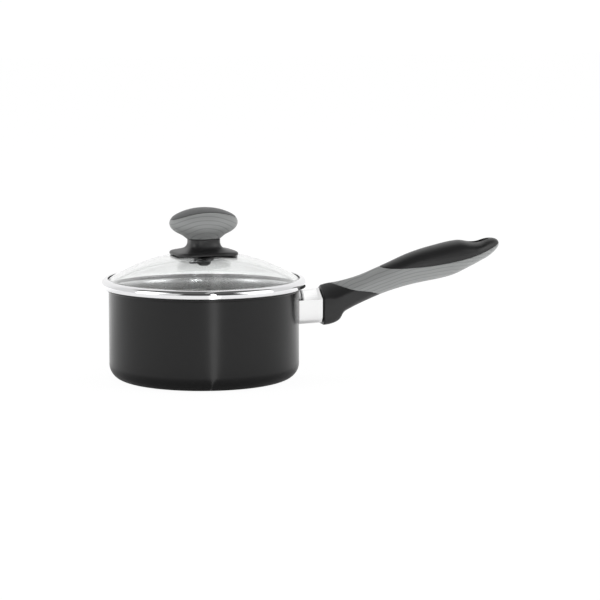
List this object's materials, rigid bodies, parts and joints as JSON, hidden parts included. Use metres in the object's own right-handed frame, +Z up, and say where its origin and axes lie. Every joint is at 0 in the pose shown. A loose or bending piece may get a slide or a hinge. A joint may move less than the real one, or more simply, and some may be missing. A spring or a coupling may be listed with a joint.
{
  "type": "saucepan with glass lid",
  "caption": "Small straight-sided black saucepan with a domed glass lid, steel lid band, oval two-tone knob and a long upswept two-tone handle on a polished ferrule.",
  "frame": {"origin": "centre of the pan's flat base, on the surface the pan stands on", "axes": "+Z up along the axis of the pan and the lid, +X outwards along the handle, +Y across to complete a right-handed frame"},
  "size_m": [0.3289, 0.1648, 0.1375],
  "materials": {
    "black_coated_aluminium": "satin-gloss black non-stick coating over drawn aluminium",
    "polished_aluminium": "polished",
    "black_plastic": "fine satin, heat-resistant",
    "grey_soft_grip": "soft-touch, contour-line pattern in two greys",
    "dark_grey_inlay": "satin",
    "polished_steel": "polished stainless steel",
    "zinc_steel": "zinc plated",
    "brass": "turned",
    "silicone": "translucent grey, matte",
    "clear_glass": "clear tempered glass"
  },
  "bodies": {
    "pan": {"pan_body": "black_coated_aluminium", "weld_stud": "polished_aluminium", "ferrule": "polished_aluminium", "handle_core": "black_plastic", "handle_grip": "grey_soft_grip", "handle_flat_washer": "zinc_steel", "handle_lock_washer": "zinc_steel", "handle_screw": "zinc_steel"},
    "lid": {"lid_glass": "clear_glass", "lid_band": "polished_steel", "vent_eyelet": "polished_steel", "knob_base": "black_plastic", "knob_grip": "grey_soft_grip", "knob_top": "dark_grey_inlay", "knob_insert": "brass", "knob_screw": "zinc_steel", "knob_washer": "polished_steel", "knob_seal_lower": "silicone", "knob_seal_upper": "silicone"}
  },
  "joints": [
    {"name": "lid_lift", "type": "slide", "parent": "pan", "child": "lid", "axis": [0, 0, 1], "range_m": [0, 0.15]}
  ]
}
